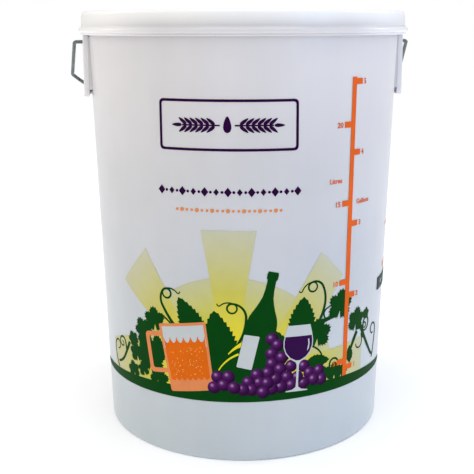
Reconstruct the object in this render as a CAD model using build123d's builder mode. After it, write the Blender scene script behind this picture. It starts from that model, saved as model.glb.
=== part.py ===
from build123d import *

import os
from math import acos, cos, degrees, radians, sin, sqrt

# A 25 litre (5 gallon) plastic fermenting bucket with a press-on lid and a wire bail handle.
# Millimetres, +Z up.  The origin is the centre of the flat foot that the bucket stands on.
# The handle pivots on an axis along X and rests against the wall on the +Y side.  The printed
# front of the bucket faces -Y.

# ---- bucket shell -------------------------------------------------------------------------
BASE_R = 139.7  # outer radius at the foot
TAPER = 0.0383  # growth of the outer radius per millimetre of height
WALL = 2.2
FLOOR_Z = 3.0  # inside floor
FOOT_STEP = 0.8  # the floor's underside stands this far above the foot ring
FOOT_RING = 9.0  # width of the foot ring
BASE_EDGE = 1.8  # rounding of the bottom edge

# ---- rolled rim ---------------------------------------------------------------------------
RIM_TOP_Z = 409.4
RIM_LIP = 2.2  # thickness of the rim's flat top
RIM_OUT_R = 159.3
RIM_LEG = 2.0  # thickness of the rim's turned-down leg
RIM_LEG_Z = 399.4  # lower end of that leg
RIM_EDGE = 0.7

# ---- ears that carry the handle -----------------------------------------------------------
EAR_OUT_R = 160.6
EAR_T = 2.3
EAR_HALF_W = 27.0
EAR_TOP_Z = 390.4
EAR_LOW_Z = 330.7
EAR_CORNER = 7.0
EAR_FLANGE = 5.0  # depth of the ear where a flange turns inwards round its sides and bottom
EAR_FLANGE_T = 2.0
EAR_SHELF = 1.2  # closes the pocket behind the ear at its top
EAR_WEB = 2.0
EAR_WEB_SPAN = 56.0  # webs and shelf before they are cut back to the gap behind the plate
EAR_WEB_LOW_Z = 338.0
EAR_SIDE_Y = 25.2  # the two outer webs, almost flush with the ear's ends
EAR_RIB_Y = 15.0  # the two stiffening ribs inside the pocket
EAR_EDGE = 0.6

# ---- wire handle --------------------------------------------------------------------------
PIVOT_Z = 384.0
WIRE_R = 1.8
EAR_HOLE_R = 2.1
ARM_START_X = 169.2  # where the pivot stub turns into the arm
KNEE_X = 178.8  # where the arm meets the round bow
BOW_R = 193.3  # radius of the bow, centred midway between the pivots
GRIP_SPAN = 53.0  # half the straight length that carries the grip
STUB_BEND = 3.4
KNEE_BEND = 7.0
GRIP_BEND = 12.0
HOOK_IN_X = 155.1  # flattened end behind the ear
HOOK_OUT_X = 157.7
HOOK_W = 4.0
HOOK_REACH = 4.5  # centre of the hook's round end, from the pivot

# ---- grip ---------------------------------------------------------------------------------
GRIP_R = 11.0
GRIP_END_R = 9.4
GRIP_HALF = 50.0
GRIP_BORE_R = 2.1
GRIP_GAP = 0.6  # between the resting grip and the wall
GRIP_SHOULDER = 9.0
GRIP_EDGE = 1.6
GRIP_GROOVES = 5
GRIP_GROOVE_PITCH = 16.0
GRIP_GROOVE_R = 4.6
GRIP_GROOVE_DEPTH = 0.8

# ---- lid ----------------------------------------------------------------------------------
LID_TOP_Z = 413.5
LID_ROOF_Z = 411.0  # underside of the channel that sits over the rim
SKIRT_TOP_R = 161.0
SKIRT_OUT_R = 161.8
SKIRT_IN_R = 159.9
SNAP_R = 159.5
SNAP_Z = 396.0
SNAP_HALF_H = 1.6
LID_LOW_Z = 391.0
LID_LOW_R = 162.2
BEAD_TOP_Z = 398.6
BEAD_R = 164.4
BEAD_Z = 395.6
BEAD_BLEND = 1.2  # eases the skirt into the bead
LIP_NECK_R = 162.3  # between the bead and the thin lip under it
LIP_NECK_Z = 392.8
LIP_R = 162.6
LIP_Z = 391.8
LID_EDGE = 3.0
ROOF_EDGE = 1.5
PLUG_OUT_R = 152.3
PLUG_IN_R = 150.2
PLUG_EDGE = 1.2
PANEL_LOW_Z = 401.8
PANEL_TOP_Z = 404.0
STACK_RING_R = 118.0
STACK_RING_W = 2.4
STACK_RING_H = 4.0
LID_RIBS = 16
LID_RIB_T = 1.6
LID_RIB_H = 3.2

# ---- airlock grommet and its place in the lid ---------------------------------------------
GROMMET_Y = 82.0
LID_HOLE_R = 6.5
GROMMET_NECK_R = 6.45
GROMMET_BORE_R = 4.5
GROMMET_FLANGE_R = 9.6
GROMMET_FLANGE_T = 2.1
GROMMET_GAP = 0.05
GROMMET_EDGE = 0.7
BOSS_R = 15.0
BOSS_W = 1.6
BOSS_H = 1.4

# ---- lid seal -----------------------------------------------------------------------------
SEAL_IN_R = 154.0
SEAL_OUT_R = 158.2
SEAL_GAP = 0.05
SEAL_EDGE = 0.4

# ---- stick-on strip thermometer -----------------------------------------------------------
STRIP_LOW_Z = 140.0
STRIP_H = 13.0
STRIP_T = 0.5
STRIP_CORNER = 1.5
STRIP_GAP = 0.03
STRIP_START = -29.5  # azimuth of the strip's left end, in degrees from +X
STRIP_LENGTH = 120.0


def wall_r(z):
    """Outer radius of the tapered wall at a height."""
    return BASE_R + TAPER * z


def rest_angle():
    """How far the handle hangs below level when its grip lies against the wall."""
    angle = radians(30.0)
    for _ in range(20):
        grip_z = PIVOT_Z - GRIP_L * sin(angle)
        angle = acos((wall_r(grip_z) + GRIP_R + GRIP_GAP) / GRIP_L)
    return angle


GRIP_L = sqrt(BOW_R**2 - GRIP_SPAN**2)  # the grip's axis from the pivot axis
KNEE_L = sqrt(BOW_R**2 - KNEE_X**2)
REST = rest_angle()
GRIP_Y = GRIP_L * cos(REST)
GRIP_Z = PIVOT_Z - GRIP_L * sin(REST)
RIM_IN_R = wall_r(RIM_TOP_Z) - WALL
GROMMET_LOW_Z = PANEL_LOW_Z - GROMMET_GAP - GROMMET_FLANGE_T
GROMMET_TOP_Z = PANEL_TOP_Z + GROMMET_GAP + GROMMET_FLANGE_T
STRIP_ARC = degrees(STRIP_LENGTH / wall_r(STRIP_LOW_Z))

# The handle lies in a plane through the pivot axis: X across, Y away from the pivots.
BAIL_PLANE = Plane(
    origin=(0, 0, PIVOT_Z),
    x_dir=(1, 0, 0),
    z_dir=(0, sin(REST), cos(REST)),
)
HOOK_PLANE = Plane(
    origin=(HOOK_IN_X, 0, PIVOT_Z),
    x_dir=(0, -cos(REST), sin(REST)),
    z_dir=(1, 0, 0),
)
GRIP_PLANE = Plane(origin=(0, GRIP_Y, GRIP_Z), x_dir=(1, 0, 0), z_dir=(0, -1, 0))
GROMMET_PLANE = Plane(origin=(0, GROMMET_Y, 0), x_dir=(1, 0, 0), z_dir=(0, -1, 0))
STRIP_PLANE = Plane(
    origin=(0, 0, 0),
    x_dir=(cos(radians(STRIP_START)), sin(radians(STRIP_START)), 0),
    z_dir=(sin(radians(STRIP_START)), -cos(radians(STRIP_START)), 0),
)


# ---- ear: a curved plate with a pocket behind it ------------------------------------------
# The hollow leaves the plate thin, with a flange round its sides and bottom.
with BuildPart() as ear_hollow:
    with BuildSketch(Plane.YZ):
        with Locations((0, EAR_TOP_Z)):
            RectangleRounded(
                2 * (EAR_HALF_W - EAR_FLANGE_T),
                2 * (EAR_TOP_Z - EAR_LOW_Z - EAR_FLANGE_T),
                EAR_CORNER - EAR_FLANGE_T,
            )
    extrude(amount=EAR_OUT_R)
    with BuildSketch(Plane.XY.offset(EAR_LOW_Z)):
        Circle(EAR_OUT_R - EAR_T)
    extrude(amount=EAR_TOP_Z - EAR_LOW_Z, mode=Mode.INTERSECT)

with BuildPart() as ear_plate:
    with BuildSketch(Plane.XY.offset(EAR_LOW_Z)):
        Circle(EAR_OUT_R)
        Circle(EAR_OUT_R - EAR_FLANGE, mode=Mode.SUBTRACT)
        with Locations((EAR_OUT_R, 0)):
            Rectangle(EAR_OUT_R, 2 * EAR_HALF_W, mode=Mode.INTERSECT)
    extrude(amount=EAR_TOP_Z - EAR_LOW_Z)
    ends = ear_plate.edges().group_by(Axis.Z)[0].filter_by(GeomType.LINE)
    fillet(ends, EAR_CORNER)
    broad_faces = ear_plate.faces().filter_by(GeomType.CYLINDER).sort_by(SortBy.AREA)[-2:]
    fillet(broad_faces.edges(), EAR_EDGE)
    add(ear_hollow.part, mode=Mode.SUBTRACT)
    with BuildSketch(Plane.YZ.offset(EAR_OUT_R - 2 * EAR_T)):
        with Locations((0, PIVOT_Z)):
            Circle(EAR_HOLE_R)
    extrude(amount=3 * EAR_T, mode=Mode.SUBTRACT)

# Webs, ribs and a shelf join the ear to the wall and leave a pocket that is open below.
with BuildPart() as ear_webs:
    with BuildSketch(Plane.XY.offset(EAR_WEB_LOW_Z)):
        with Locations((EAR_OUT_R, 0)):
            with Locations((0, EAR_SIDE_Y), (0, -EAR_SIDE_Y), (0, EAR_RIB_Y), (0, -EAR_RIB_Y)):
                Rectangle(EAR_WEB_SPAN, EAR_WEB)
    extrude(amount=EAR_TOP_Z - EAR_SHELF - EAR_WEB_LOW_Z)
    with BuildSketch(Plane.XY.offset(EAR_TOP_Z - EAR_SHELF)):
        with Locations((EAR_OUT_R, 0)):
            Rectangle(EAR_WEB_SPAN, 2 * (EAR_HALF_W - EAR_FLANGE_T))
    extrude(amount=EAR_SHELF)
    with BuildSketch(Plane.XZ):
        with BuildLine():
            Polyline(
                (wall_r(EAR_LOW_Z) - WALL / 2, EAR_LOW_Z),
                (EAR_OUT_R - EAR_T / 2, EAR_LOW_Z),
                (EAR_OUT_R - EAR_T / 2, EAR_TOP_Z),
                (wall_r(EAR_TOP_Z) - WALL / 2, EAR_TOP_Z),
                close=True,
            )
        make_face()
    revolve(axis=Axis.Z, mode=Mode.INTERSECT)

# ---- bucket body: one moulding of shell, rim and two ears ---------------------------------
with BuildPart() as bucket_body:
    with BuildSketch(Plane.XZ) as shell:
        with BuildLine():
            Polyline(
                (0, FOOT_STEP),
                (BASE_R - FOOT_RING, FOOT_STEP),
                (BASE_R - FOOT_RING + FOOT_STEP, 0),
                (BASE_R, 0),
                (wall_r(RIM_TOP_Z - RIM_LIP), RIM_TOP_Z - RIM_LIP),
                (RIM_OUT_R - RIM_LEG, RIM_TOP_Z - RIM_LIP),
                (RIM_OUT_R - RIM_LEG, RIM_LEG_Z),
                (RIM_OUT_R, RIM_LEG_Z),
                (RIM_OUT_R, RIM_TOP_Z),
                (RIM_IN_R, RIM_TOP_Z),
                (wall_r(FLOOR_Z) - WALL, FLOOR_Z),
                (0, FLOOR_Z),
                close=True,
            )
        make_face()
        for corner, rounding in (
            ((BASE_R, 0, 0), BASE_EDGE),
            ((wall_r(FLOOR_Z) - WALL, FLOOR_Z, 0), 2 * BASE_EDGE),
            ((RIM_OUT_R, RIM_TOP_Z, 0), RIM_EDGE),
            ((RIM_IN_R, RIM_TOP_Z, 0), RIM_EDGE),
        ):
            fillet(shell.vertices().sort_by_distance(corner)[0], rounding)
    revolve(axis=Axis.Z)
    add(ear_plate.part)
    add(ear_webs.part)
    mirror(ear_plate.part, about=Plane.YZ)
    mirror(ear_webs.part, about=Plane.YZ)

# ---- bail wire: half of it is swept, and the other half is its mirror image ---------------
with BuildPart() as bail_wire:
    with BuildLine(BAIL_PLANE) as bail_path:
        Line((0, GRIP_L), (GRIP_SPAN, GRIP_L))
        RadiusArc((GRIP_SPAN, GRIP_L), (KNEE_X, KNEE_L), BOW_R)
        Line((KNEE_X, KNEE_L), (ARM_START_X, 0))
        Line((ARM_START_X, 0), (HOOK_OUT_X, 0))
        for corner, bend in (
            ((GRIP_SPAN, GRIP_L, 0), GRIP_BEND),
            ((KNEE_X, KNEE_L, 0), KNEE_BEND),
            ((ARM_START_X, 0, 0), STUB_BEND),
        ):
            place = BAIL_PLANE.from_local_coords(corner)
            fillet(bail_path.vertices().sort_by_distance(place)[0], bend)
    half_bail = bail_path.wires()[0]
    with BuildSketch(Plane(origin=half_bail @ 0, z_dir=half_bail % 0)):
        Circle(WIRE_R)
    sweep(path=half_bail)
    # The flattened end behind the ear points away from the arm, so it stays in the pocket.
    with BuildSketch(HOOK_PLANE):
        with Locations((HOOK_REACH / 2, 0)):
            SlotCenterToCenter(HOOK_REACH, HOOK_W)
    extrude(amount=HOOK_OUT_X - HOOK_IN_X)
    mirror(about=Plane.YZ)

# ---- grip: a moulded sleeve that turns on the wire ----------------------------------------
with BuildPart() as bail_grip:
    with BuildSketch(GRIP_PLANE) as sleeve:
        with BuildLine():
            Polyline(
                (-GRIP_HALF, GRIP_BORE_R),
                (-GRIP_HALF, GRIP_END_R),
                (-GRIP_HALF + GRIP_SHOULDER, GRIP_R),
                (GRIP_HALF - GRIP_SHOULDER, GRIP_R),
                (GRIP_HALF, GRIP_END_R),
                (GRIP_HALF, GRIP_BORE_R),
                close=True,
            )
        make_face()
        fillet(sleeve.vertices().group_by(Axis.Y)[1], GRIP_EDGE)
        with Locations((0, GRIP_R + GRIP_GROOVE_R - GRIP_GROOVE_DEPTH)):
            with GridLocations(GRIP_GROOVE_PITCH, 0, GRIP_GROOVES, 1):
                Circle(GRIP_GROOVE_R, mode=Mode.SUBTRACT)
    revolve(axis=Axis((0, GRIP_Y, GRIP_Z), (1, 0, 0)))

# ---- lid: a channel over the rim, a plug inside it and a recessed, ribbed panel -----------
with BuildPart() as lid:
    with BuildSketch(Plane.XZ) as section:
        with BuildLine():
            Polyline(
                (LID_LOW_R, LID_LOW_Z),
                (SKIRT_IN_R, LID_LOW_Z),
                (SKIRT_IN_R, SNAP_Z - SNAP_HALF_H),
                (SNAP_R, SNAP_Z),
                (SKIRT_IN_R, SNAP_Z + SNAP_HALF_H),
                (SKIRT_IN_R, LID_ROOF_Z),
                (PLUG_OUT_R, LID_ROOF_Z),
                (PLUG_OUT_R, PANEL_LOW_Z),
                (0, PANEL_LOW_Z),
                (0, PANEL_TOP_Z),
                (PLUG_IN_R, PANEL_TOP_Z),
                (PLUG_IN_R, LID_TOP_Z),
                (SKIRT_TOP_R, LID_TOP_Z),
                (SKIRT_OUT_R, BEAD_TOP_Z),
            )
            ThreePointArc((SKIRT_OUT_R, BEAD_TOP_Z), (BEAD_R, BEAD_Z), (LIP_NECK_R, LIP_NECK_Z))
            ThreePointArc((LIP_NECK_R, LIP_NECK_Z), (LIP_R, LIP_Z), (LID_LOW_R, LID_LOW_Z))
        make_face()
        for corner, rounding in (
            ((SKIRT_TOP_R, LID_TOP_Z, 0), LID_EDGE),
            ((SKIRT_IN_R, LID_ROOF_Z, 0), ROOF_EDGE),
            ((SKIRT_OUT_R, BEAD_TOP_Z, 0), BEAD_BLEND),
            ((PLUG_IN_R, LID_TOP_Z, 0), PLUG_EDGE),
            ((PLUG_IN_R, PANEL_TOP_Z, 0), PLUG_EDGE),
            ((PLUG_OUT_R, PANEL_LOW_Z, 0), PLUG_EDGE),
        ):
            fillet(section.vertices().sort_by_distance(corner)[0], rounding)
    revolve(axis=Axis.Z)
    with BuildSketch(Plane.XY.offset(PANEL_TOP_Z)):
        Circle(STACK_RING_R + STACK_RING_W / 2)
        Circle(STACK_RING_R - STACK_RING_W / 2, mode=Mode.SUBTRACT)
    extrude(amount=STACK_RING_H)
    with BuildSketch(Plane.XY.offset(PANEL_TOP_Z)):
        with PolarLocations((STACK_RING_R + PLUG_IN_R) / 2, LID_RIBS):
            Rectangle(PLUG_IN_R - STACK_RING_R + 1.0, LID_RIB_T)
    extrude(amount=LID_RIB_H)
    with BuildSketch(Plane.XY.offset(PANEL_TOP_Z)):
        with Locations((0, GROMMET_Y)):
            Circle(BOSS_R)
            Circle(BOSS_R - BOSS_W, mode=Mode.SUBTRACT)
    extrude(amount=BOSS_H)
    with Locations((0, GROMMET_Y, PANEL_TOP_Z)):
        Hole(LID_HOLE_R)

# ---- grommet: a rubber ring that grips the lid and takes an airlock's stem ----------------
with BuildPart() as airlock_grommet:
    with BuildSketch(GROMMET_PLANE) as ring:
        with BuildLine():
            Polyline(
                (GROMMET_BORE_R, GROMMET_LOW_Z),
                (GROMMET_FLANGE_R, GROMMET_LOW_Z),
                (GROMMET_FLANGE_R, PANEL_LOW_Z - GROMMET_GAP),
                (GROMMET_NECK_R, PANEL_LOW_Z - GROMMET_GAP),
                (GROMMET_NECK_R, PANEL_TOP_Z + GROMMET_GAP),
                (GROMMET_FLANGE_R, PANEL_TOP_Z + GROMMET_GAP),
                (GROMMET_FLANGE_R, GROMMET_TOP_Z),
                (GROMMET_BORE_R, GROMMET_TOP_Z),
                close=True,
            )
        make_face()
        fillet(ring.vertices().group_by(Axis.X)[-1], GROMMET_EDGE)
    revolve(axis=Axis((0, GROMMET_Y, 0), (0, 0, 1)))

# ---- seal: a soft ring squeezed between the rim and the lid -------------------------------
with BuildPart() as lid_seal_ring:
    with BuildSketch(Plane.XZ) as seal_section:
        with Locations(((SEAL_IN_R + SEAL_OUT_R) / 2, (RIM_TOP_Z + LID_ROOF_Z) / 2)):
            RectangleRounded(
                SEAL_OUT_R - SEAL_IN_R, LID_ROOF_Z - RIM_TOP_Z - 2 * SEAL_GAP, SEAL_EDGE
            )
    revolve(axis=Axis.Z)

# ---- strip thermometer: a thin label that follows the tapered wall ------------------------
with BuildPart() as thermometer_strip:
    with BuildSketch(STRIP_PLANE):
        with BuildLine():
            inner_low = wall_r(STRIP_LOW_Z) + STRIP_GAP
            inner_high = wall_r(STRIP_LOW_Z + STRIP_H) + STRIP_GAP
            Polyline(
                (inner_low, STRIP_LOW_Z),
                (inner_low + STRIP_T, STRIP_LOW_Z),
                (inner_high + STRIP_T, STRIP_LOW_Z + STRIP_H),
                (inner_high, STRIP_LOW_Z + STRIP_H),
                close=True,
            )
        make_face()
    revolve(axis=Axis.Z, revolution_arc=STRIP_ARC)
    ends = thermometer_strip.edges().filter_by(lambda edge: edge.length < 2 * STRIP_T)
    fillet(ends, STRIP_CORNER)

# ---- write one file per piece -------------------------------------------------------------
os.makedirs("parts", exist_ok=True)

bucket_body.part.label = "bucket_body"
export_step(bucket_body.part, "parts/bucket_body.step")

bail_wire.part.label = "bail_wire"
export_step(bail_wire.part, "parts/bail_wire.step")

bail_grip.part.label = "bail_grip"
export_step(bail_grip.part, "parts/bail_grip.step")

lid.part.label = "lid"
export_step(lid.part, "parts/lid.step")

lid_seal_ring.part.label = "lid_seal_ring"
export_step(lid_seal_ring.part, "parts/lid_seal_ring.step")

airlock_grommet.part.label = "airlock_grommet"
export_step(airlock_grommet.part, "parts/airlock_grommet.step")

thermometer_strip.part.label = "thermometer_strip"
export_step(thermometer_strip.part, "parts/thermometer_strip.step")
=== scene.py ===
"""A 25 litre plastic fermenting bucket: materials, screen print, floor, light and camera.

The CAD model is the fixed frame.  Everything printed on the bucket is drawn here as flat shapes
in millimetres, s to the right of the print's centre line and z up from the ground, and then
wrapped round the tapered wall as thin solid layers of ink.
"""

import math
import random

import bmesh
import bpy
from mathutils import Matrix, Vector


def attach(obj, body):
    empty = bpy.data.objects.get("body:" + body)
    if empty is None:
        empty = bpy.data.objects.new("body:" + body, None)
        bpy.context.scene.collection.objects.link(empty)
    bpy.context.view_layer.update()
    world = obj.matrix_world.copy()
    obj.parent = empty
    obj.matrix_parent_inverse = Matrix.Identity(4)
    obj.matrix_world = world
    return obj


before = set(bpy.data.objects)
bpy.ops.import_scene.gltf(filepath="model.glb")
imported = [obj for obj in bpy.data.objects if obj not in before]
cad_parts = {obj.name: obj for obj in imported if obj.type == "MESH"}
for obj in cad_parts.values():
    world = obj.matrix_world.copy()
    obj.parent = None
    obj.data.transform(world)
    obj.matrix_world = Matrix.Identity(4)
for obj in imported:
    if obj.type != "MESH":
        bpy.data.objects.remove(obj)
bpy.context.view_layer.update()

MM = 0.001

# ---- the bucket's own shape, in millimetres -----------------------------------------------
BASE_R = 139.7
TAPER = 0.0383
WALL = 2.2
FLOOR_Z = 3.0

# ---- where the print sits -----------------------------------------------------------------
PRINT_AZ = math.radians(-100.2)  # the print's centre line, from +X
INK_LIFT = 0.03  # lowest ink above the wall
INK_STEP = 0.02  # each layer of ink above the one before
INK_THICK = 0.07
SHAPE_STEP = 0.004  # each shape of a piece above the one before, where they overlap
GRAPE_STEP = 0.002  # the same for grapes
BUBBLE_STEP = 0.001  # and for bubbles
SLICE_S = 4.0  # longest stretch of ink across the curve
SLICE_Z = 16.0  # and up the wall
BOLD = 0.018  # how far letters are fattened, as a share of their size
SHARP_EDGE = math.radians(35)  # edges of ink that bend more than this stay sharp

LITRES_PER_GALLON = 4.546
MM3_PER_LITRE = 1e6

# ---- values that several materials share --------------------------------------------------
TINT_TOP = 0.42  # height in metres of the top of every height tint
INK_SHINE = 0.04  # how strongly ink reflects
PURE = (1.0, 1.0, 1.0, 1.0)  # a tint that changes nothing


def wall_radius(z):
    """Outer radius of the tapered wall at a height."""
    return BASE_R + TAPER * z


def mark_height(litres):
    """Height of the liquid's surface above the ground when the bucket holds this much."""
    floor_r = wall_radius(FLOOR_Z) - WALL
    surface_r = (floor_r**3 + 3.0 * TAPER * litres * MM3_PER_LITRE / math.pi) ** (1 / 3)
    return FLOOR_Z + (surface_r - floor_r) / TAPER


def wrapped(azimuth, lift):
    """A function that puts a flat point (s, z, extra lift) on the wall.

    The print's middle is at the azimuth, and its ink stands off the wall by the lift.
    """

    def to_wall(s, z, extra):
        angle = azimuth + s / wall_radius(z)
        r = wall_radius(z) + lift + extra
        return Vector((r * math.cos(angle), r * math.sin(angle), z)) * MM

    return to_wall


# ==== node materials =======================================================================


def node(tree, kind, inputs=None, **settings):
    """Adds a shader node, with its settings and its input values or links."""
    made = tree.nodes.new(kind)
    for key, value in settings.items():
        setattr(made, key, value)
    for key, value in (inputs or {}).items():
        if isinstance(value, bpy.types.NodeSocket):
            tree.links.new(value, made.inputs[key])
        else:
            made.inputs[key].default_value = value
    return made


def material(name):
    """A new node material, its tree, its Principled shader and its object coordinates."""
    made = bpy.data.materials.new(name)
    made.use_nodes = True
    tree = made.node_tree
    shader = tree.nodes["Principled BSDF"]
    coords = tree.nodes.new("ShaderNodeTexCoord").outputs["Object"]
    return made, tree, shader, coords


def rgb(red, green, blue):
    """A linear colour from 0-255 display values."""

    def linear(value):
        value = value / 255.0
        return value / 12.92 if value <= 0.04045 else ((value + 0.055) / 1.055) ** 2.4

    return (linear(red), linear(green), linear(blue), 1.0)


def ramp(tree, factor, stops):
    """A colour ramp node with stops of (position, colour)."""
    made = tree.nodes.new("ShaderNodeValToRGB")
    elements = made.color_ramp.elements
    while len(elements) < len(stops):
        elements.new(0.5)
    for element, (position, colour) in zip(elements, stops):
        element.position = position
        element.color = colour
    tree.links.new(factor, made.inputs["Fac"])
    return made.outputs["Color"]


def noise(tree, coords, scale, detail=3.0, roughness=0.5, stretch=None):
    """Noise in object space.  The scale is in features per metre."""
    if stretch:
        coords = node(
            tree, "ShaderNodeMapping", {"Vector": coords, "Scale": stretch}
        ).outputs["Vector"]
    inputs = {"Vector": coords, "Scale": scale, "Detail": detail, "Roughness": roughness}
    return node(tree, "ShaderNodeTexNoise", inputs).outputs["Fac"]


def share_of(tree, value, low, high, at_low=0.0, at_high=1.0):
    """Where a value lies between low and high, as 0 to 1 or between two other ends."""
    inputs = {"Value": value, "From Min": low, "From Max": high, "To Min": at_low, "To Max": at_high}
    return node(tree, "ShaderNodeMapRange", inputs).outputs["Result"]


def spread(tree, factor, low, high):
    """Maps a 0-1 factor to the range low-high."""
    return share_of(tree, factor, 0.0, 1.0, low, high)


def tinted(tree, factor, colour, tint):
    """A colour multiplied by a tint, as strongly as the factor says."""
    # The node has an A and a B for numbers and for colours, so its sockets go by number.
    inputs = {0: factor, 6: colour, 7: tint}
    return node(tree, "ShaderNodeMix", inputs, data_type="RGBA", blend_type="MULTIPLY").outputs[2]


def bump(tree, height, distance, strength, normal=None):
    """A bump from a height factor.  The distance is in metres."""
    inputs = {"Height": height, "Distance": distance, "Strength": strength}
    if normal:
        inputs["Normal"] = normal
    return node(tree, "ShaderNodeBump", inputs).outputs["Normal"]


def plastic(name, deep, pale, roughness, painted_shade=(), fade=(1.0, 2.0), grain=1.0):
    """Moulded polypropylene: slow clouding, flow lines, a fine satin grain and soft scatter.

    Painted shade: stops of (height in metres, colour) that multiply the colour, standing in for
    the light that the plastic carries down from its top.  It fades out between two distances in
    metres to the left and right of the middle.  The grain scales the streaks and the surface texture.
    """
    made, tree, shader, coords = material(name)
    clouds = noise(tree, coords, 9.0, 4.0, 0.55)
    flow = noise(tree, coords, 34.0, 5.0, 0.6, (1.0, 1.0, 0.12))
    colour = ramp(tree, clouds, [(0.32, deep), (0.68, pale)])
    flow_tint = ramp(tree, flow, [(0.3, (0.965, 0.967, 0.972, 1.0)), (0.7, PURE)])
    colour = tinted(tree, grain, colour, flow_tint)
    # painted shade: the colour darkens with height as set by the stops and lifts towards the sides
    if painted_shade:
        place = node(tree, "ShaderNodeSeparateXYZ", {"Vector": coords}).outputs
        height = share_of(tree, place["Z"], 0.0, TINT_TOP)
        tint = ramp(tree, height, [(z / TINT_TOP, (*shade, 1.0)) for z, shade in painted_shade])
        across = node(tree, "ShaderNodeMath", {0: place["X"]}, operation="ABSOLUTE").outputs["Value"]
        strength = share_of(tree, across, *fade, 1.0, 0.0)
        colour = tinted(tree, strength, colour, tint)
    tree.links.new(colour, shader.inputs["Base Color"])
    scuffs = noise(tree, coords, 60.0, 8.0, 0.7)
    rough, rougher = roughness - 0.05 * grain, roughness + 0.07 * grain
    tree.links.new(spread(tree, scuffs, rough, rougher), shader.inputs["Roughness"])
    ripple = bump(tree, noise(tree, coords, 14.0, 2.0), 0.0004, 0.12 * grain)
    satin = bump(tree, noise(tree, coords, 1900.0, 2.0), 0.00002, 0.8 * grain, ripple)
    tree.links.new(satin, shader.inputs["Normal"])
    shader.inputs["Subsurface Weight"].default_value = 0.25
    shader.inputs["Subsurface Radius"].default_value = (1.0, 0.95, 0.9)
    shader.inputs["Subsurface Scale"].default_value = 0.006
    shader.inputs["IOR"].default_value = 1.49
    return made


def zinc_wire(name):
    """Dull zinc-plated steel wire with drawing lines and darker spangle."""
    made, tree, shader, coords = material(name)
    spangle = noise(tree, coords, 420.0, 6.0, 0.65)
    lines = noise(tree, coords, 260.0, 3.0, 0.6, (1.0, 0.15, 0.15))
    colour = ramp(tree, spangle, [(0.3, rgb(72, 80, 80)), (0.7, rgb(134, 143, 144))])
    tint = ramp(tree, lines, [(0.35, (0.74, 0.75, 0.74, 1.0)), (0.65, PURE)])
    tree.links.new(tinted(tree, 1.0, colour, tint), shader.inputs["Base Color"])
    tree.links.new(spread(tree, spangle, 0.3, 0.52), shader.inputs["Roughness"])
    shader.inputs["Metallic"].default_value = 0.9
    tree.links.new(bump(tree, lines, 0.00005, 0.6), shader.inputs["Normal"])
    return made


def rubber(name, dark, light):
    """Soft moulded rubber with bloom on its surface."""
    made, tree, shader, coords = material(name)
    bloom = noise(tree, coords, 160.0, 5.0, 0.6)
    colour = ramp(tree, bloom, [(0.35, dark), (0.7, light)])
    tree.links.new(colour, shader.inputs["Base Color"])
    tree.links.new(spread(tree, bloom, 0.55, 0.78), shader.inputs["Roughness"])
    tree.links.new(bump(tree, noise(tree, coords, 2600.0), 0.00003, 0.7), shader.inputs["Normal"])
    return made


def ink(name, colour, mottle=0.12):
    """Screen-print ink: an even colour with faint mottling and a fine mesh texture."""
    made, tree, shader, coords = material("ink_" + name)
    patches = noise(tree, coords, 55.0, 5.0, 0.65)
    dim = tuple(channel * (1.0 - mottle) for channel in colour[:3]) + (1.0,)
    tree.links.new(ramp(tree, patches, [(0.3, dim), (0.7, colour)]), shader.inputs["Base Color"])
    tree.links.new(spread(tree, patches, 0.39, 0.53), shader.inputs["Roughness"])
    tree.links.new(bump(tree, noise(tree, coords, 2400.0), 0.00001, 0.6), shader.inputs["Normal"])
    shader.inputs["Specular IOR Level"].default_value = INK_SHINE
    return made


def glowing_ink(name, centre, near, middle, far, reach):
    """Yellow ink that pales with distance in metres from a point on the wall, for the sun."""
    made, tree, shader, coords = material("ink_" + name)
    inputs = {0: coords, 1: centre}
    away = node(tree, "ShaderNodeVectorMath", inputs, operation="DISTANCE").outputs["Value"]
    share = share_of(tree, away, 0.0, reach)
    colour = ramp(tree, share, [(0.25, near), (0.6, middle), (1.0, far)])
    patches = noise(tree, coords, 70.0, 4.0, 0.6)
    tint = ramp(tree, patches, [(0.3, (0.95, 0.95, 0.93, 1.0)), (0.7, PURE)])
    tree.links.new(tinted(tree, 1.0, colour, tint), shader.inputs["Base Color"])
    tree.links.new(spread(tree, patches, 0.34, 0.46), shader.inputs["Roughness"])
    shader.inputs["Specular IOR Level"].default_value = INK_SHINE
    return made


def toned_ink(name, stops):
    """Ink whose colour follows the mesh's own tone attribute, for round fruit."""
    made, tree, shader, coords = material("ink_" + name)
    tone = node(tree, "ShaderNodeAttribute", attribute_name="tone").outputs["Fac"]
    colour = ramp(tree, tone, stops)
    patches = noise(tree, coords, 120.0, 4.0, 0.6)
    tint = ramp(tree, patches, [(0.3, (0.86, 0.86, 0.88, 1.0)), (0.7, PURE)])
    tree.links.new(tinted(tree, 1.0, colour, tint), shader.inputs["Base Color"])
    tree.links.new(spread(tree, patches, 0.32, 0.44), shader.inputs["Roughness"])
    shader.inputs["Specular IOR Level"].default_value = INK_SHINE
    return made


# ==== flat shapes ==========================================================================
# A shape is (points, faces): points are (s, z, extra lift, tone) and faces are index lists.
# An outline is a list of (s, z) points.

PATH_STEP = 0.8  # length of each straight piece of a winding path
FULL_TONE = 1.45  # a grape's tone is 1 at this many radii from its highlight


def filled(loops, extra=0.0):
    """Fills outlines, the later ones as holes, and slices the result so that it can curve."""
    curve = bpy.data.curves.new("outline", "CURVE")
    curve.dimensions = "2D"
    curve.fill_mode = "BOTH"
    for loop in loops:
        spline = curve.splines.new("POLY")
        spline.points.add(len(loop) - 1)
        for point, (s, z) in zip(spline.points, loop):
            point.co = (s, z, 0.0, 1.0)
        spline.use_cyclic_u = True
    return sliced(curve, extra)


def stacked(outlines, step=SHAPE_STEP):
    """Fills outlines that may overlap, each a little above the one before."""
    return [filled([outline], step * k) for k, outline in enumerate(outlines)]


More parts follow.
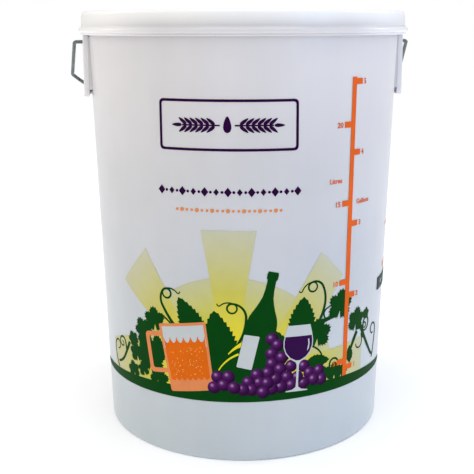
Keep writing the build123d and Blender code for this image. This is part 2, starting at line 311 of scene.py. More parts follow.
def lettered(text, size, s, z, align="CENTER"):
    """Digits or unit words as a flat shape, with the baseline at z."""
    letters = bpy.data.curves.new("letters", "FONT")
    letters.body = text
    letters.size = size
    letters.align_x = align
    letters.offset = BOLD * size
    letters.resolution_u = 3
    points, faces = sliced(letters, 0.0)
    return [(s + x, z + y, extra, tone) for x, y, extra, tone in points], faces


def sliced(curve, extra):
    """The flat mesh of a filled curve, cut into strips that are narrow enough to bend."""
    holder = bpy.data.objects.new("flat", curve)
    bpy.context.scene.collection.objects.link(holder)
    graph = bpy.context.evaluated_depsgraph_get()
    flat = bpy.data.meshes.new_from_object(holder.evaluated_get(graph), depsgraph=graph)
    bpy.data.objects.remove(holder)
    bpy.data.curves.remove(curve)
    shape = bmesh.new()
    shape.from_mesh(flat)
    bpy.data.meshes.remove(flat)
    for axis, step in ((0, SLICE_S), (1, SLICE_Z)):
        places = [v.co[axis] for v in shape.verts]
        first = math.floor(min(places) / step) + 1
        last = math.ceil(max(places) / step)
        for k in range(first, last):
            cut = Vector((0, 0, 0))
            cut[axis] = k * step
            normal = Vector((0, 0, 0))
            normal[axis] = 1.0
            geometry = shape.verts[:] + shape.edges[:] + shape.faces[:]
            bmesh.ops.bisect_plane(shape, geom=geometry, dist=1e-5, plane_co=cut, plane_no=normal)
    bmesh.ops.remove_doubles(shape, verts=shape.verts[:], dist=1e-4)
    bmesh.ops.triangulate(shape, faces=shape.faces[:])
    points = [(v.co.x, v.co.y, extra, 0.0) for v in shape.verts]
    faces = []
    for face in shape.faces:
        corners = [v.index for v in face.verts]
        faces.append(corners if face.normal.z > 0 else corners[::-1])
    shape.free()
    return points, faces


def placed(loop, s, z, turn, flip=1.0):
    """An outline mirrored if flip is -1, turned by an angle in degrees and then moved."""
    c, n = math.cos(math.radians(turn)), math.sin(math.radians(turn))
    return [(s + c * flip * x - n * y, z + n * flip * x + c * y) for x, y in loop]


def circle(s, z, radius, count=14):
    """A round outline about a point."""
    steps = [math.tau * k / count for k in range(count)]
    return [(s + radius * math.cos(t), z + radius * math.sin(t)) for t in steps]


def lozenge(s, z, half_width, half_height):
    """A four-pointed outline that stands on its tip."""
    return [(s - half_width, z), (s, z - half_height), (s + half_width, z), (s, z + half_height)]


def rectangle(s, z, half_width, half_height):
    """An upright rectangular outline about its middle."""
    right, top = s + half_width, z + half_height
    left, bottom = s - half_width, z - half_height
    return [(left, bottom), (right, bottom), (right, top), (left, top)]


def rounded(corners, radius):
    """A polygon outline with its corners rounded."""
    loop = []
    count = 6
    for k, corner in enumerate(corners):
        here = Vector(corner)
        back = (Vector(corners[k - 1]) - here).normalized()
        ahead = (Vector(corners[(k + 1) % len(corners)]) - here).normalized()
        for step in range(count + 1):
            t = step / count
            start, end = here + back * radius, here + ahead * radius
            point = start * (1 - t) ** 2 + here * 2 * t * (1 - t) + end * t**2
            loop.append((point.x, point.y))
    return loop


def ribbon(path, width):
    """A stroke along a path, whose width is a function of the share of the path's length.

    It climbs by one layer on its way, so that it can cross itself.
    """
    points, faces = [], []
    for k, here in enumerate(path):
        before, after = Vector(path[max(k - 1, 0)]), Vector(path[min(k + 1, len(path) - 1)])
        along = (after - before).normalized()
        half = width(k / (len(path) - 1)) / 2
        side = Vector((-along.y, along.x)) * half
        climb = INK_STEP * k / len(path)
        points.append((here[0] + side.x, here[1] + side.y, climb, 0.0))
        points.append((here[0] - side.x, here[1] - side.y, climb, 0.0))
    for k in range(len(path) - 1):
        faces.append([2 * k, 2 * k + 1, 2 * k + 3, 2 * k + 2])
    return points, faces


def wandering(start, heading, turns):
    """A path that sets off at a heading in degrees and bends through (length, degrees) turns."""
    s, z = start
    angle = math.radians(heading)
    path = [(s, z)]
    for length, bend in turns:
        count = max(2, round(length / PATH_STEP))
        for _ in range(count):
            angle += math.radians(bend) / count
            s += math.cos(angle) * length / count
            z += math.sin(angle) * length / count
            path.append((s, z))
    return path


def dome(s, z, radius, extra):
    """A disc with a tone that grows away from a highlight up and to the left of its middle."""
    rings, count = 4, 20
    glint = Vector((-0.3 * radius, 0.34 * radius))
    points, faces = [(s, z, extra, glint.length / radius / FULL_TONE)], []
    for ring in range(1, rings + 1):
        for k in range(count):
            t = math.tau * k / count
            spot = Vector((math.cos(t), math.sin(t))) * radius * ring / rings
            points.append((s + spot.x, z + spot.y, extra, (spot - glint).length / radius / FULL_TONE))
    for k in range(count):
        faces.append([0, 1 + k, 1 + (k + 1) % count])
    for ring in range(rings - 1):
        low, high = 1 + ring * count, 1 + (ring + 1) * count
        for k in range(count):
            j = (k + 1) % count
            faces.append([low + k, high + k, high + j, low + j])
    return points, faces


def printed(name, shapes, finish, layer, surface):
    """One piece of ink: every shape becomes a thin closed solid that hugs the surface."""
    corners, faces, tones = [], [], []
    for points, flat_faces in shapes:
        first = len(corners)
        count = len(points)
        bottom = layer * INK_STEP
        for level in (bottom + INK_THICK, bottom):
            for s, z, extra, tone in points:
                corners.append(surface(s, z, extra + level))
                tones.append(tone)
        edges = {}
        for face in flat_faces:
            faces.append([first + i for i in face])
            faces.append([first + count + i for i in reversed(face)])
            for k, i in enumerate(face):
                edges[(i, face[(k + 1) % len(face)])] = True
        for i, j in edges:
            if (j, i) not in edges:
                faces.append([first + j, first + i, first + count + i, first + count + j])
    mesh = bpy.data.meshes.new(name)
    mesh.from_pydata(corners, [], faces)
    tone_layer = mesh.attributes.new("tone", "FLOAT", "POINT")
    tone_layer.data.foreach_set("value", tones)
    mesh.shade_smooth()
    mesh.set_sharp_from_angle(angle=SHARP_EDGE)
    mesh.materials.append(finish)
    piece = bpy.data.objects.new(name, mesh)
    bpy.context.scene.collection.objects.link(piece)
    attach(piece, "bucket")


# ==== parts of the drawing =================================================================


def serrated_leaf(length, width, teeth):
    """A saw-edged leaf that points up from its stalk at the origin."""

    def half(t):
        return width / 2 * math.sin(math.pi * min(t, 1.0) ** 0.72) ** 0.85

    side = []
    for k in range(1, teeth):
        share = k / teeth
        side.append((half(share) * 1.06, length * (share + 0.03)))
        side.append((half(share + 0.02) * 0.9, length * (share + 0.035)))
    left = [(-x, y) for x, y in reversed(side)]
    return [(0.6, -1.0)] + side + [(0.0, length)] + left + [(-0.6, -1.0)]


def vine_leaf(size):
    """A broad five-lobed, toothed leaf with its tip up and a notch at its stalk."""
    # Each lobe has its direction in degrees, its length and its half width in degrees.
    lobes = ((90, 1.0, 38), (34, 0.92, 34), (146, 0.92, 34), (-26, 0.8, 36), (206, 0.8, 36))
    core, tooth, notch = 0.6, 0.07, -0.03
    loop = []
    for angle in range(-78, 259, 4):
        reach = core
        for middle, length, half_wide in lobes:
            near = math.cos(min(1.0, abs(angle - middle) / half_wide) * math.pi / 2)
            reach = max(reach, core + (length - core) * near)
        reach += tooth if angle % 12 == 6 else notch
        turn = math.radians(angle)
        loop.append((size * reach * math.cos(turn), size * reach * math.sin(turn)))
    return loop + [(0.0, -0.15 * size)]


def grain(length, width):
    """A plump seed that comes to a point at its far end, from the origin along +s."""
    loop = []
    count = 20
    for k in range(count):
        t = math.tau * k / count
        x = (1 - math.cos(t)) / 2
        loop.append((length * x, -width / 2 * math.sin(t) * (1 - 0.55 * x)))
    return loop


def barley_ear(s, z, flip):
    """A lying ear of barley with its stalk at (s, z), pointing right, or left if flip is -1."""
    rows, pitch, lean, half_stalk = 6, 5.1, 38, 0.7
    ahead = 0 if flip > 0 else 180
    stalk = [(-4, half_stalk), (-4, -half_stalk), (30, -half_stalk), (30, half_stalk)]
    shapes = [filled([placed(stalk, s, z, 0, flip)])]
    for k in range(rows):
        for side in (1, -1):
            root = placed([(0.5 + pitch * k, half_stalk * side)], s, z, 0, flip)[0]
            seed = placed(grain(9.2, 4.1), *root, ahead + lean * side * flip)
            shapes.append(filled([seed], SHAPE_STEP * (k + 1)))
    tip = placed([(30.4, 0)], s, z, 0, flip)[0]
    shapes.append(filled([placed(grain(9.4, 4.2), *tip, ahead)], 10 * SHAPE_STEP))
    return shapes


def scalloped(left, right, z, depth, count):
    """Points along a scalloped edge that hangs from z, from right to left."""
    points = []
    steps = 8
    for k in range(steps * count):
        share = k % steps / steps
        t = k / count / steps
        points.append((right + (left - right) * t, z - depth * math.sin(math.pi * share) ** 0.7))
    return points + [(left, z)]


def outline_of(right_side):
    """A symmetrical outline from its right-hand side, listed upwards."""
    return right_side + [(-x, y) for x, y in reversed(right_side)]


def grapes(places, radius):
    """A bunch of round grapes, each a little above the one before."""
    return [dome(s, z, radius, GRAPE_STEP * k) for k, (s, z) in enumerate(places)]


def tendril(start, heading, turns, thick=3.1, thin=1.1):
    """A curling tendril that thins towards its end."""
    return ribbon(wandering(start, heading, turns), lambda t: thick + (thin - thick) * t)


# ==== the print ============================================================================

front = wrapped(PRINT_AZ, INK_LIFT)

PURPLE = ink("dark_purple", rgb(42, 2, 56))
ORANGE = ink("orange", rgb(226, 99, 34))
GREEN = ink("leaf_green", rgb(0, 64, 12))
PEACH = ink("peach", rgb(222, 136, 86))
BEER = ink("beer", rgb(221, 103, 16))
WHITE = ink("white", rgb(190, 196, 200), mottle=0.05)
WINE = ink("wine", rgb(50, 10, 68))
FIZZ = ink("fizz", rgb(240, 170, 90))
GRAPE_TONES = [
    (0.0, rgb(205, 180, 205)),
    (0.11, rgb(138, 98, 146)),
    (0.26, rgb(84, 30, 96)),
    (0.6, rgb(58, 10, 70)),
    (1.0, rgb(24, 0, 30)),
]
GRAPE = toned_ink("grape", GRAPE_TONES)

# The sun behind the still life.  Its glow pales with distance from FOCUS.
FOCUS = (0.0, 77.0)
SUN = tuple(front(*FOCUS, 0.0))
GLOW_REACH, HALO_REACH = 0.145, 0.106  # how far the colours go on paling, in metres
GLOW = glowing_ink(
    "sun", SUN, rgb(226, 210, 40), rgb(196, 189, 88), rgb(193, 193, 172), GLOW_REACH
)
HALO = glowing_ink(
    "halo", SUN, rgb(216, 206, 60), rgb(198, 194, 74), rgb(189, 189, 160), HALO_REACH
)
HALO_R, HALO_STEPS = 101.0, 60
GROUND_Z = 62.0  # the sun is cut off here, behind the ground
halo_start = math.asin((GROUND_Z - FOCUS[1]) / HALO_R)
halo_sweep = math.pi - 2 * halo_start
sweep = [halo_start + halo_sweep * k / HALO_STEPS for k in range(HALO_STEPS + 1)]
halo = [(FOCUS[0] + HALO_R * math.cos(t), FOCUS[1] + HALO_R * math.sin(t)) for t in sweep]
printed("sun_halo", [filled([halo])], HALO, 0, front)
rays = [
    [(-9, GROUND_Z), (9, GROUND_Z), (14, 158), (25, 221), (-25, 221), (-14, 158)],
    [(-40, GROUND_Z), (-10, GROUND_Z), (-61, 162), (-84, 198), (-116, 162), (-84, 137)],
    [(10, GROUND_Z), (40, GROUND_Z), (88, 137), (113, 172), (87, 197), (58, 152)],
    [(-145, GROUND_Z), (-30, GROUND_Z), (-30, 100), (-112, 106), (-145, 95)],
    [(30, GROUND_Z), (145, GROUND_Z), (145, 103), (30, 98)],
]
printed("sun_rays", stacked(rays), GLOW, 1, front)

# The frame with its emblem, and the two ornamental rules under it.
FRAME_LOW, FRAME_HIGH, FRAME_LINE = 292.1, 337.4, 2.4
FRAME_CORNER, FRAME_INNER_CORNER = 4.5, 2.6
FRAME_WIDE, FRAME_TALL = 62.9, (FRAME_HIGH - FRAME_LOW) / 2  # half its width and height
EMBLEM_Z = (FRAME_LOW + FRAME_HIGH) / 2
outer = rectangle(0, EMBLEM_Z, FRAME_WIDE, FRAME_TALL)
inner = rectangle(0, EMBLEM_Z, FRAME_WIDE - FRAME_LINE, FRAME_TALL - FRAME_LINE)
frame_line = filled([rounded(outer, FRAME_CORNER), rounded(inner, FRAME_INNER_CORNER)])
printed("emblem_frame", [frame_line], PURPLE, 0, front)
EMBLEM_GAP = 10.5  # from the middle to the foot of each ear of barley
SEED_LONG, SEED_WIDE, SEED_DROP = 14.5, 9.4, 6.5
seed = filled([placed(grain(SEED_LONG, SEED_WIDE), 0, EMBLEM_Z - SEED_DROP, 90)])
ears = barley_ear(EMBLEM_GAP, EMBLEM_Z, 1) + barley_ear(-EMBLEM_GAP, EMBLEM_Z, -1)
printed("emblem", ears + [seed], PURPLE, 0, front)

SMALL_DOT, LARGE_DOT = 1.3, 1.9
TITLE_Z, TITLE_PITCH, TITLE_EACH_SIDE = 255.8, 10.4, 6
LARGE_LOZENGE, SMALL_LOZENGE, LOZENGE_SLIM = 4.3, 3.2, 0.8  # half heights, width to height
title = []
for k in range(-TITLE_EACH_SIDE, TITLE_EACH_SIDE + 1):
    size = LARGE_LOZENGE if k % 2 == 0 else SMALL_LOZENGE
    title.append(filled([lozenge(TITLE_PITCH * k, TITLE_Z, size * LOZENGE_SLIM, size)]))
    if k < TITLE_EACH_SIDE:
        title.append(filled([circle(TITLE_PITCH * (k + 0.5), TITLE_Z, SMALL_DOT)]))
printed("title_rule", title, PURPLE, 0, front)

DOTTED_Z, DOT_PITCH, DOTS_EACH_SIDE = 239.0, 4.7, 10
dots = []
for k in range(-DOTS_EACH_SIDE, DOTS_EACH_SIDE + 1):
    dots.append(filled([circle(DOT_PITCH * k, DOTTED_Z, LARGE_DOT if k % 3 == 0 else SMALL_DOT)]))
printed("dotted_rule", dots, PEACH, 0, front)

# Vines, leaves and tendrils behind the still life.
leaves = [
    placed(vine_leaf(14.5), -75, 128, 6),
    placed(vine_leaf(13.5), -89, 116, 34),
    placed(vine_leaf(12), -88, 104, 8),
    placed(vine_leaf(9), -105, 103, 30),
    placed(vine_leaf(12), -100.5, 90, 14),
    placed(vine_leaf(10.5), -106, 71, 16),
    placed(vine_leaf(19), -80, 89, -4),
    placed(vine_leaf(13), -72, 72, -20),
    placed(vine_leaf(9), -91, 76, 20),
    placed(vine_leaf(14), -71, 101, 10),
    placed(serrated_leaf(48, 24, 11), -25.5, 114, 28),
    placed(serrated_leaf(64, 35, 14), -5.5, 83, 7.5),
    placed(serrated_leaf(50, 22, 10), -16, 70, -32),
    placed(serrated_leaf(43, 27, 10), 66.5, 114, -4),
    placed(serrated_leaf(34, 22, 9), 49, 94, 12),
    placed(vine_leaf(17.5), 110.5, 140, -10),
    placed(vine_leaf(17), 84, 117, -8),
    placed(vine_leaf(14.5), 134, 120, -12),
    placed(vine_leaf(7), 152, 123, -12),
    placed(serrated_leaf(17, 10, 5), 125, 82, 2),
    placed(serrated_leaf(25, 13, 7), 73, 93, -94),
    placed(vine_leaf(9), 93, 77, 20),
    placed(vine_leaf(11), 104, 76, 0),
    placed(vine_leaf(9), 114, 74, -20),
]
printed("vine_leaves", stacked(leaves), GREEN, 2, front)

LOOP = [(26, 332), (14, 72), (4, -140)]  # the curl at the end of the longest tendrils
BACK_LOOP = [(length, -bend) for length, bend in LOOP]  # the same, curling the other way
tendrils = [
    tendril((-53, 129), 131, [(22, -12), (15, -66), (5, -55)] + BACK_LOOP),
    tendril((-66, 136.5), -28, [(15, -20)], 2.0, 1.6),
    tendril((-3.5, 103), 36, [(44, 54), (20, 88)] + LOOP),
    tendril((82, 126), 52, [(22, 24), (20, 40), (15, 90)] + LOOP),
    tendril((-112, 99), -116, [(20, -8), (17, -42)], 3.6, 2.4),
    tendril((-118.5, 89), 92, [(8, 14), (14, 140), (10, 130), (7, 170)], 2.6, 1.3),
    tendril((-136, 66), 128, [(21, -32), (12, -76), (9, -110), (7, -90)], 2.4, 1.3),
    tendril((107, 134), 188, [(16, 8), (14, 14)], 4.2, 4.0),
    tendril((93, 132), 140, [(6, -50), (6, -62), (9, -20)], 1.8, 1.2),
    tendril((140, 127), -14, [(16, 4)], 2.2, 2.0),
    tendril((147, 100), 94, [(16, -12), (13, -150), (16, -130), (12, -170), (9, -190)], 2.6, 1.3),
    tendril((171, 72), 68, [(28, 14), (13, 84), (11, 120), (8, 90)], 2.5, 1.4),
    tendril((141, 116), -62, [(22, 6), (22, 6), (8, 36)], 4.4, 2.8),
    tendril((136, 110), -127, [(14, 6), (14, 14)], 4.4, 3.2),
    tendril((144, 106), -72, [(9, -20), (8, -84), (8, -90)], 2.0, 1.4),
    tendril((78, 108), -24, [(9, -20), (9, -32)], 1.9, 1.6),
    tendril((98.8, 83.4), 122, [(27, -300)], 2.1, 1.8),
]
printed("tendrils", tendrils, GREEN, 3, front)

# Two strokes of sunlight that part the middle leaves.
gaps = [
    tendril((-10, 89.5), 62, [(25, -40)], 1.0, 2.0),
    tendril((-1, 105.5), 50, [(16, -22)], 0.9, 3.6),
]
printed("leaf_gaps", gaps, GLOW, 5, front)

# The ground that everything stands on: a long green band that rolls a little and thins
# towards its ends.
GROUND_LEFT, GROUND_RIGHT, GROUND_STEPS = -190.0, 214.0, 80
GROUND_LOW, GROUND_ROLL, GROUND_ROLL_S, GROUND_ROLL_LONG = 57.8, 1.4, -50.0, 80.0
GROUND_THIN, GROUND_SWELL = 1.0, 12.0  # thickness at the ends, and what the middle adds
ground_low, ground_high = [], []
for k in range(GROUND_STEPS + 1):
    t = k / GROUND_STEPS
    s = GROUND_LEFT + (GROUND_RIGHT - GROUND_LEFT) * t
    bottom = GROUND_LOW + GROUND_ROLL * math.sin((s - GROUND_ROLL_S) / GROUND_ROLL_LONG)
    swell = GROUND_SWELL * math.sin(math.pi * t) ** 0.5
    ground_low.append((s, bottom))
    ground_high.append((s, bottom + GROUND_THIN + swell))
printed("ground_band", [filled([ground_low + ground_high[::-1]])], GREEN, 5, front)


def standing(name, outlines, finish, layer, place):
    """A piece drawn upright about (0, 0) and put at (s, z, lean in degrees), with any holes."""
    printed(name, [filled([placed(outline, *place) for outline in outlines])], finish, layer, front)


# The bottle.
BOTTLE = (14.2, 64.0, -12.5)
bottle_base = [(13.6, 0), (14.3, 2), (14.3, 66), (14.0, 72)]
bottle_shoulder = [(13.0, 77), (11.4, 81), (9.0, 86), (7.0, 91), (5.1, 97), (4.2, 104), (4.0, 113)]
bottle_mouth = [(4.3, 114), (5.1, 115), (5.3, 119), (4.7, 121.5)]
standing("bottle", [outline_of(bottle_base + bottle_shoulder + bottle_mouth)], GREEN, 6, BOTTLE)
label = rounded([(-14.2, 27), (0.0, 27), (0.5, 59.8), (-13.8, 59.0)], 1.2)
standing("bottle_label", [label], WHITE, 7, BOTTLE)

# The mug.
MUG = (-35.5, 66.5, 9.2)
MUG_LOW, MUG_HIGH, MUG_TALL = 21.8, 24.4, 65.8  # half widths at the foot and the rim, height
GLASS_LINE = 2.8
FOAM_LOW, BEER_LOW = 42, 11
mug = rounded([(-MUG_LOW, 0), (MUG_LOW, 0), (MUG_HIGH, MUG_TALL), (-MUG_HIGH, MUG_TALL)], 2.0)
handle_out = rounded([(-43, 18), (-20, 18), (-20, 58), (-43, 58)], 5.0)
handle_in = rounded([(-38.6, 22.4), (-18, 22.4), (-18, 53.6), (-38.6, 53.6)], 2.5)
standing("mug_handle", [handle_out, handle_in], PEACH, 6, MUG)
standing("mug_glass", [mug], PEACH, 7, MUG)
foam_right, foam_top = MUG_HIGH - GLASS_LINE, MUG_TALL - GLASS_LINE
foam = outline_of([(foam_right, FOAM_LOW), (foam_right, foam_top)])
standing("mug_foam", [foam], WHITE, 8, MUG)
beer_foot, beer_top = MUG_LOW - 2.2, MUG_LOW - 0.4  # half widths of the beer
froth_edge = scalloped(-beer_top, beer_top, 52.8, 5.8, 6)
foot_edge = scalloped(-beer_foot, beer_foot, 13.5, 3.0, 7)
beer = [(beer_foot, BEER_LOW)] + froth_edge + [(-beer_foot, BEER_LOW)] + foot_edge[-2:0:-1]
standing("mug_beer", [beer], BEER, 9, MUG)

BUBBLES, BUBBLE_REACH, BUBBLE_LOW = 70, 17.5, 15
BUBBLE_SIZES = (0.3, 0.62)
fizz = []
draw = random.Random(7)
for _ in range(BUBBLES):
    across = draw.uniform(-BUBBLE_REACH, BUBBLE_REACH)
    up = draw.uniform(BUBBLE_LOW, FOAM_LOW)
    bubble = circle(across, up, draw.uniform(*BUBBLE_SIZES), count=8)
    fizz.append(placed(bubble, *MUG))
printed("mug_fizz", stacked(fizz, BUBBLE_STEP), FIZZ, 10, front)

# Grapes.
GRAPE_R = 6.1
back_row = [(39, 119.3), (44, 113.3), (38.6, 105.3), (48, 101)]
back_row += [(38.8, 95.6), (57, 91.8), (46.4, 89.7), (69.7, 90)]
left_bunch = [(-11, 83), (-1, 83.5), (-14.5, 72.5), (-5.6, 75.2)]
right_bunch = [(75.4, 82.5), (85.7, 83), (88.7, 73.4), (80, 75), (69.4, 73.2), (63, 80)]
front_row = [(53, 81.3), (57.3, 73), (47, 72.2), (42, 80.8), (35, 87), (38.3, 71), (25, 85.5)]
front_row += [(27, 77.7), (34.4, 77), (17, 78.4), (20, 71), (12, 71.2), (30.5, 68.2), (4, 73)]
printed("grapes", grapes(back_row + left_bunch + right_bunch + front_row, GRAPE_R), GRAPE, 8, front)

# The wine glass.
GLASS = (62.6, 66.0, -2.0)
glass_stem = [(11.0, 0), (10.8, 0.9), (4.5, 2.0), (1.3, 4.5), (1.0, 9), (1.1, 26), (2.4, 28.8)]
glass_bowl = [(8.0, 32.2), (12.4, 37.4), (14.6, 43.8), (14.7, 49.5), (13.4, 56.5), (11.2, 64.4)]
standing("glass", [outline_of(glass_stem + glass_bowl)], WHITE, 13, GLASS)
wine = [(2.0, 30.4), (7.6, 33.4), (11.7, 38.2), (13.7, 43.8), (13.8, 49.4), (13.0, 53.8)]
standing("glass_wine", [outline_of(wine)], WINE, 14, GLASS)
glint = [(9.0, 38.5), (10.6, 41.5), (11.2, 46), (10.6, 50.5), (9.4, 50.5), (9.9, 45.5), (9.2, 41.5)]
standing("glass_glint", [glint], WHITE, 15, GLASS)

# The scale: litres on its left and gallons on its right.
SCALE_S, SCALE_WIDE, SCALE_LOW, SCALE_HIGH = 120.4, 5.4, 70.0, 354.5
SCALE_LEAN, LEAN_Z = 0.0172, 232.0  # the scale leans outwards about this height
TICK_LONG, TICK_WIDE = 8.0, 5.4
LITRE_MARKS = (5, 10, 15, 20)
GALLON_MARKS = (1, 2, 3, 4, 5)


def tick(edge, tip, z):
    """The corners of a tick from the scale's edge out to its tip and back, listed upwards."""
    low, high = z - TICK_WIDE / 2, z + TICK_WIDE / 2
    return [(edge, low), (tip, low), (tip, high), (edge, high)]


right, left = SCALE_S + SCALE_WIDE / 2, SCALE_S - SCALE_WIDE / 2
right_tip, left_tip = right + TICK_LONG, left - TICK_LONG
gallon_places = {gallons: mark_height(gallons * LITRES_PER_GALLON) for gallons in GALLON_MARKS}
litre_places = {litres: mark_height(litres) for litres in LITRE_MARKS}
scale = [(right, SCALE_LOW)]
for z in gallon_places.values():
    scale += tick(right, right_tip, z)
scale += [(right, SCALE_HIGH), (left, SCALE_HIGH)]
for z in reversed(litre_places.values()):
    scale += reversed(tick(left, left_tip, z))
scale += [(left, SCALE_LOW)]
DIGIT, UNIT_WORD = 6.8, 6.4  # sizes of the letters
DIGIT_DROP = DIGIT * 0.36  # from a mark's height down to its figure's baseline
LITRE_GAP, GALLON_GAP = 1.8, 2.0  # from a tick's tip to its figure
LITRES_AT, GALLONS_AT = (101.5, 259), (138.5, 237)
figures = []
for litres, z in litre_places.items():
    figures.append(lettered(str(litres), DIGIT, left_tip - LITRE_GAP, z - DIGIT_DROP, "RIGHT"))
for gallons, z in gallon_places.items():
    figures.append(lettered(str(gallons), DIGIT, right_tip + GALLON_GAP, z - DIGIT_DROP, "LEFT"))
figures.append(lettered("Litres", UNIT_WORD, *LITRES_AT))
figures.append(lettered("Gallons", UNIT_WORD, *GALLONS_AT))


def leaning(s, z, extra):
    """The wall's surface for the scale, which leans a little."""
    return front(s + SCALE_LEAN * (z - LEAN_Z), z, extra)


printed("scale_bar", [filled([scale])], ORANGE, 12, leaning)
printed("scale_figures", figures, ORANGE, 12, leaning)

# The stick-on strip thermometer: its nine cells with their figures, and the rows above it.
STRIP_AZ, STRIP_Z, STRIP_THICK = math.radians(-5.85), 146.5, 0.5
CELL_COUNT, CELL_PITCH, CELL_HALF_WIDE, CELL_HALF_TALL, CELL_LINE = 9, 12, 5.2, 5.0, 0.4
FIRST_DEGREES, DEGREES_PER_CELL = 10, 3
CELL_DIGIT, CELL_DIGIT_DROP = 6.0, 1.4
strip = wrapped(STRIP_AZ, STRIP_THICK + INK_LIFT)
SILVER = ink("silver", rgb(196, 202, 200), mottle=0.1)
TEAL = ink("teal", rgb(40, 150, 130), mottle=0.1)
temperatures, cells = [], []
for k in range(CELL_COUNT):
    s = CELL_PITCH * (k - (CELL_COUNT - 1) / 2)
    degrees = str(FIRST_DEGREES + DEGREES_PER_CELL * k)
    temperatures.append(lettered(degrees, CELL_DIGIT, s, STRIP_Z - CELL_DIGIT_DROP))
    cell_out = rectangle(s, STRIP_Z, CELL_HALF_WIDE, CELL_HALF_TALL)
    cell_in = rectangle(s, STRIP_Z, CELL_HALF_WIDE - CELL_LINE, CELL_HALF_TALL - CELL_LINE)
    cells.append(filled([cell_out, cell_in]))
printed("strip_figures", temperatures, SILVER, 0, strip)
printed("strip_cells", cells, TEAL, 0, strip)

strip_wall = wrapped(STRIP_AZ, INK_LIFT)
ROW_DOT_Z, ROW_DOT_PITCH, ROW_DOT = 204.0, 4.4, 1.2
ROW_LOZENGE_Z, ROW_LOZENGE_PITCH, ROW_LOZENGE_WIDE, ROW_LOZENGE_TALL = 162.0, 8.0, 2.4, 3.6
DOTS_BESIDE, LOZENGES_BESIDE = 9, 5  # on each side of the middle one
captions = []
for k in range(-DOTS_BESIDE, DOTS_BESIDE + 1):
    captions.append(filled([circle(ROW_DOT_PITCH * k, ROW_DOT_Z, ROW_DOT)]))
for k in range(-LOZENGES_BESIDE, LOZENGES_BESIDE + 1):
    diamond = lozenge(ROW_LOZENGE_PITCH * k, ROW_LOZENGE_Z, ROW_LOZENGE_WIDE, ROW_LOZENGE_TALL)
    captions.append(filled([diamond]))
printed("strip_captions", captions, ORANGE, 0, strip_wall)

# ==== materials on the CAD parts ===========================================================

# Painted shade: the wall's colour darkens to a cool grey towards its foot, and the lid's down its
# skirt, standing in for the light that the milky plastic carries down from its top.
WALL_PAINTED_SHADE = [
    (0.02, (0.655, 0.735, 0.765)),
    (0.2, (0.705, 0.738, 0.77)),
    (0.275, (0.775, 0.785, 0.797)),
    (0.345, (0.865, 0.855, 0.86)),
    (0.385, (0.92, 0.91, 0.915)),
]
WALL_FADE = (0.152, 0.153)  # about where the wall ends, so that the ears stay untinted
# Painted shade on the lid, darkest at the bead and lifting towards the lid's ends, which stay lighter
# as painted highlights.
LID_PAINTED_SHADE = [
    (0.394, (0.69, 0.68, 0.70)),
    (0.4, (0.64, 0.63, 0.65)),
    (0.405, (0.82, 0.812, 0.826)),
    (0.4093, (0.95, 0.948, 0.954)),
    (0.4135, (1.0, 1.0, 1.0)),
]
LID_FADE = (0.085, 0.2)  # slowly, towards both ends of the lid
LID_GRAIN = 0.2  # the lid is smoother than the wall

finishes = {
    "bucket_body": plastic(
        "bucket_plastic", rgb(224, 222, 226), rgb(231, 229, 233), 0.3, WALL_PAINTED_SHADE, WALL_FADE
    ),
    "lid": plastic(
        "lid_plastic", rgb(249, 248, 249), rgb(253, 252, 253), 0.26, LID_PAINTED_SHADE, LID_FADE, LID_GRAIN
    ),
    "lid_seal_ring": rubber("seal_rubber", rgb(196, 196, 190), rgb(214, 214, 208)),
    "airlock_grommet": rubber("grommet_rubber", rgb(20, 20, 21), rgb(38, 38, 40)),
    "bail_wire": zinc_wire("zinc_wire"),
    "bail_grip": plastic("grip_plastic", rgb(228, 228, 230), rgb(238, 238, 239), 0.34),
    "thermometer_strip": rubber("thermometer_film", rgb(14, 14, 16), rgb(30, 30, 33)),
}
for name, finish in finishes.items():
    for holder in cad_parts[name].material_slots:
        holder.material = finish

# ==== floor, world, lights and camera ======================================================

FLOOR_R, FLOOR_SIDES = 9.0, 96
FLOOR_GLOW = 0.1  # lifts the floor to the white of the photo's background


def pale_floor():
    """A near-white matt floor with slow clouding that glows a little."""
    made, tree, shader, coords = material("pale_floor")
    clouds = noise(tree, coords, 3.0)
    colour = ramp(tree, clouds, [(0.3, rgb(244, 244, 245)), (0.7, rgb(249, 249, 250))])
    tree.links.new(colour, shader.inputs["Base Color"])
    shader.inputs["Roughness"].default_value = 0.7
    shader.inputs["Emission Color"].default_value = PURE
    shader.inputs["Emission Strength"].default_value = FLOOR_GLOW
    return made


floor_edge = [(s, z, 0.0) for s, z in circle(0.0, 0.0, FLOOR_R, FLOOR_SIDES)]
floor_mesh = bpy.data.meshes.new("floor")
floor_mesh.from_pydata(floor_edge, [], [list(range(FLOOR_SIDES))])
floor_mesh.materials.append(pale_floor())
floor = bpy.data.objects.new("floor", floor_mesh)
bpy.context.scene.collection.objects.link(floor)

SKY_LIGHT, SKY_SEEN = 0.62, 1.0  # strength for the light it gives, and as the camera sees it
world = bpy.data.worlds.new("studio")
world.use_nodes = True
sky_tree = world.node_tree
sky = sky_tree.nodes["Background"]
sky.inputs["Color"].default_value = PURE
seen = sky_tree.nodes.new("ShaderNodeLightPath").outputs["Is Camera Ray"]
sky_tree.links.new(spread(sky_tree, seen, SKY_LIGHT, SKY_SEEN), sky.inputs["Strength"])
bpy.context.scene.world = world

OVERHEAD_POWER, OVERHEAD_SOFTNESS, OVERHEAD_TILT = 1.3, math.radians(50), math.radians(8)
overhead = bpy.data.lights.new("overhead", "SUN")
overhead.energy = OVERHEAD_POWER
overhead.angle = OVERHEAD_SOFTNESS
overhead_holder = bpy.data.objects.new("overhead", overhead)
overhead_holder.rotation_euler = (OVERHEAD_TILT, 0.0, 0.0)
bpy.context.scene.collection.objects.link(overhead_holder)


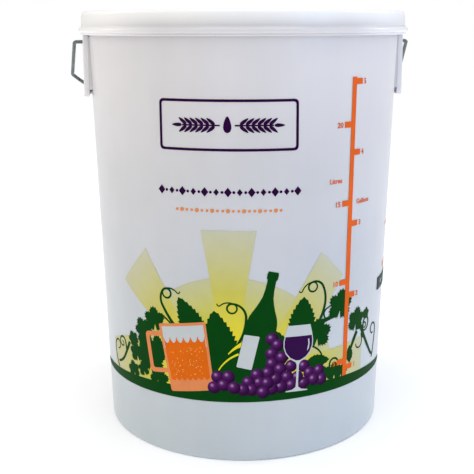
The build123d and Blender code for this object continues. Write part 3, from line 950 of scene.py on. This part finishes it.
def softbox(name, place, size, power, colour):
    """A rectangular soft light at a place in metres that shines at the bucket's middle."""
    lamp = bpy.data.lights.new(name, "AREA")
    lamp.shape = "RECTANGLE"
    lamp.size, lamp.size_y = size
    lamp.energy = power
    lamp.color = colour
    holder = bpy.data.objects.new(name, lamp)
    holder.location = place
    holder.rotation_euler = (MIDDLE - Vector(place)).to_track_quat("-Z", "Y").to_euler()
    bpy.context.scene.collection.objects.link(holder)


# Two narrow lights from the sides and two wide ones from the front, cool on the right and
# warm on the left as in the photo.  Each has its place, size, power and colour.
MIDDLE = Vector((0.0, 0.0, 0.2))
NARROW, WIDE = (0.3, 0.8), (1.0, 1.0)
softbox("strip_right", (1.6, 0.3, 1.0), NARROW, 4.6, (0.92, 0.95, 1.0))
softbox("strip_left", (-1.6, 0.45, 1.0), NARROW, 5.3, (1.0, 0.955, 0.84))
softbox("fill_right", (1.5, -1.6, 0.7), WIDE, 7.3, (0.29, 0.56, 1.0))
softbox("fill_left", (-1.5, -1.6, 0.7), WIDE, 2.6, (1.0, 0.82, 0.12))

# The photo's camera: its place in metres, where it looks, and its lens in millimetres.  The
# shifts, as shares of the picture's width, put the bucket where it stands in the photo.
CAMERA_PLACE = (-0.0788, -0.9006, 0.3994)
CAMERA_DOWN, CAMERA_ROLL, CAMERA_HEADING = 9.26, 0.13, -5.0  # in degrees
LENS, SENSOR_WIDTH = 66.87, 36.0
SHIFT_X, SHIFT_Y = -0.0127, -0.1427
camera_data = bpy.data.cameras.new("camera")
camera_data.sensor_width = SENSOR_WIDTH
camera_data.lens = LENS
camera_data.shift_x = SHIFT_X
camera_data.shift_y = SHIFT_Y
camera = bpy.data.objects.new("camera", camera_data)
camera.location = CAMERA_PLACE
camera_turn = (90 - CAMERA_DOWN, CAMERA_ROLL, CAMERA_HEADING)
camera.rotation_euler = [math.radians(angle) for angle in camera_turn]
bpy.context.scene.collection.objects.link(camera)
bpy.context.scene.camera = camera
bpy.context.scene.view_settings.view_transform = "Standard"
